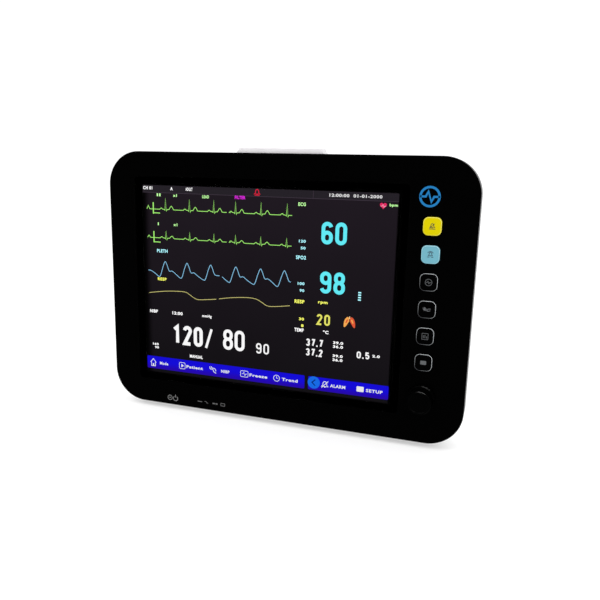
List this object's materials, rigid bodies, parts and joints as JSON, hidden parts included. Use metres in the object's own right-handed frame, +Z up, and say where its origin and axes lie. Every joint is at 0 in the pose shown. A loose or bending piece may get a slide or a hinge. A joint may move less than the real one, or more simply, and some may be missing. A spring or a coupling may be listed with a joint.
{
  "type": "patient monitor",
  "caption": "Bedside patient monitor: display in a black front panel, key column, rotary push knob, alarm lamp bar, side patient sockets, folding handle and rear battery door.",
  "frame": {"origin": "on the table under the middle of the object's box", "axes": "+X to the viewer's right, the display faces -Y, +Z up"},
  "size_m": [0.348, 0.16, 0.2593],
  "materials": {
    "black_gloss": "gloss black moulded plastic",
    "screen_glass": "polished cover glass",
    "gasket": "matte foam",
    "lcd": "semi-gloss display film",
    "steel": "zinc-plated steel",
    "aluminium": "satin",
    "circuit": "green solder mask",
    "yellow_key": "satin yellow",
    "blue_key": "satin light blue",
    "black_key": "satin black",
    "silicone": "matte silicone",
    "smoked": "smoked window",
    "knob_black": "fine satin",
    "brass": "turned",
    "lamp": "translucent milky diffuser",
    "white_plastic": "fine moulded texture, light grey",
    "grey_plastic": "fine moulded texture, mid grey",
    "dark_rubber": "matte rubber",
    "green_socket": "satin green",
    "blue_socket": "satin blue",
    "chrome": "polished",
    "battery_film": "shrink film",
    "black_plastic": "matte black",
    "paper_cone": "pulp cone"
  },
  "bodies": {
    "housing": {"front_bezel": "black_gloss", "screen_glass": "screen_glass", "glass_gasket": "gasket", "lcd_frame": "steel", "lcd_panel": "lcd", "lcd_backlight": "lamp", "keypad_membrane": "silicone", "keypad_board": "circuit", "indicator_board": "circuit", "indicator_window": "smoked", "encoder_body": "steel", "encoder_nut": "brass", "encoder_board": "circuit", "alarm_lamp": "lamp", "alarm_led_board": "circuit", "chassis": "aluminium", "chassis_screws": "steel", "main_board": "circuit", "board_standoffs": "brass", "board_screws": "steel", "parameter_board": "circuit", "power_board": "circuit", "rear_cover": "white_plastic", "housing_screws": "steel", "mount_inserts": "brass", "feet": "dark_rubber", "handle_pins": "steel", "connector_panel": "grey_plastic", "ecg_socket": "green_socket", "spo2_socket": "blue_socket", "temp_sockets": "black_plastic", "nibp_port": "chrome", "nibp_pump": "steel", "air_hose": "silicone", "nibp_valve": "black_plastic", "battery_tray": "grey_plastic", "battery_pack": "battery_film", "door_hinge_pin": "steel", "input_plate": "steel", "mains_inlet": "black_plastic", "network_jack": "chrome", "ground_stud": "brass", "speaker_frame": "black_plastic", "speaker_cone": "paper_cone"},
    "alarm_silence_key": {"alarm_silence_key": "yellow_key"},
    "alarm_pause_key": {"alarm_pause_key": "blue_key"},
    "freeze_key": {"freeze_key": "black_key"},
    "nibp_key": {"nibp_key": "black_key"},
    "trend_key": {"trend_key": "black_key"},
    "menu_key": {"menu_key": "black_key"},
    "power_key": {"power_key": "black_key"},
    "knob_rotor": {"encoder_rotor": "black_plastic"},
    "knob": {"encoder_shaft": "steel", "knob": "knob_black"},
    "handle": {"handle": "white_plastic", "handle_grip": "dark_rubber"},
    "battery_door": {"battery_door": "white_plastic"}
  },
  "joints": [
    {"name": "alarm_silence_key_press", "type": "slide", "parent": "housing", "child": "alarm_silence_key", "axis": [0, 1, 0], "range_m": [0, 0.0008], "stiffness_N_per_m": 1500, "springref_m": -0.0004},
    {"name": "alarm_pause_key_press", "type": "slide", "parent": "housing", "child": "alarm_pause_key", "axis": [0, 1, 0], "range_m": [0, 0.0008], "stiffness_N_per_m": 1500, "springref_m": -0.0004},
    {"name": "freeze_key_press", "type": "slide", "parent": "housing", "child": "freeze_key", "axis": [0, 1, 0], "range_m": [0, 0.0008], "stiffness_N_per_m": 1500, "springref_m": -0.0004},
    {"name": "nibp_key_press", "type": "slide", "parent": "housing", "child": "nibp_key", "axis": [0, 1, 0], "range_m": [0, 0.0008], "stiffness_N_per_m": 1500, "springref_m": -0.0004},
    {"name": "trend_key_press", "type": "slide", "parent": "housing", "child": "trend_key", "axis": [0, 1, 0], "range_m": [0, 0.0008], "stiffness_N_per_m": 1500, "springref_m": -0.0004},
    {"name": "menu_key_press", "type": "slide", "parent": "housing", "child": "menu_key", "axis": [0, 1, 0], "range_m": [0, 0.0008], "stiffness_N_per_m": 1500, "springref_m": -0.0004},
    {"name": "power_key_press", "type": "slide", "parent": "housing", "child": "power_key", "axis": [0, 1, 0], "range_m": [0, 0.0008], "stiffness_N_per_m": 1500, "springref_m": -0.0004},
    {"name": "knob_turn", "type": "hinge", "parent": "housing", "child": "knob_rotor", "pos_m": [0.137, -0.065, 0.04745], "axis": [0, 1, 0], "continuous": true},
    {"name": "knob_press", "type": "slide", "parent": "knob_rotor", "child": "knob", "axis": [0, 1, 0], "range_m": [0, 0.0005], "stiffness_N_per_m": 4000, "springref_m": -0.0004},
    {"name": "handle_fold", "type": "hinge", "parent": "housing", "child": "handle", "pos_m": [0, -0.012, 0.236], "axis": [1, 0, 0], "range_deg": [0, 90]},
    {"name": "battery_door_hinge", "type": "hinge", "parent": "housing", "child": "battery_door", "pos_m": [-0.11, 0.078, 0.057], "axis": [0, 0, 1], "range_deg": [0, 90]}
  ]
}
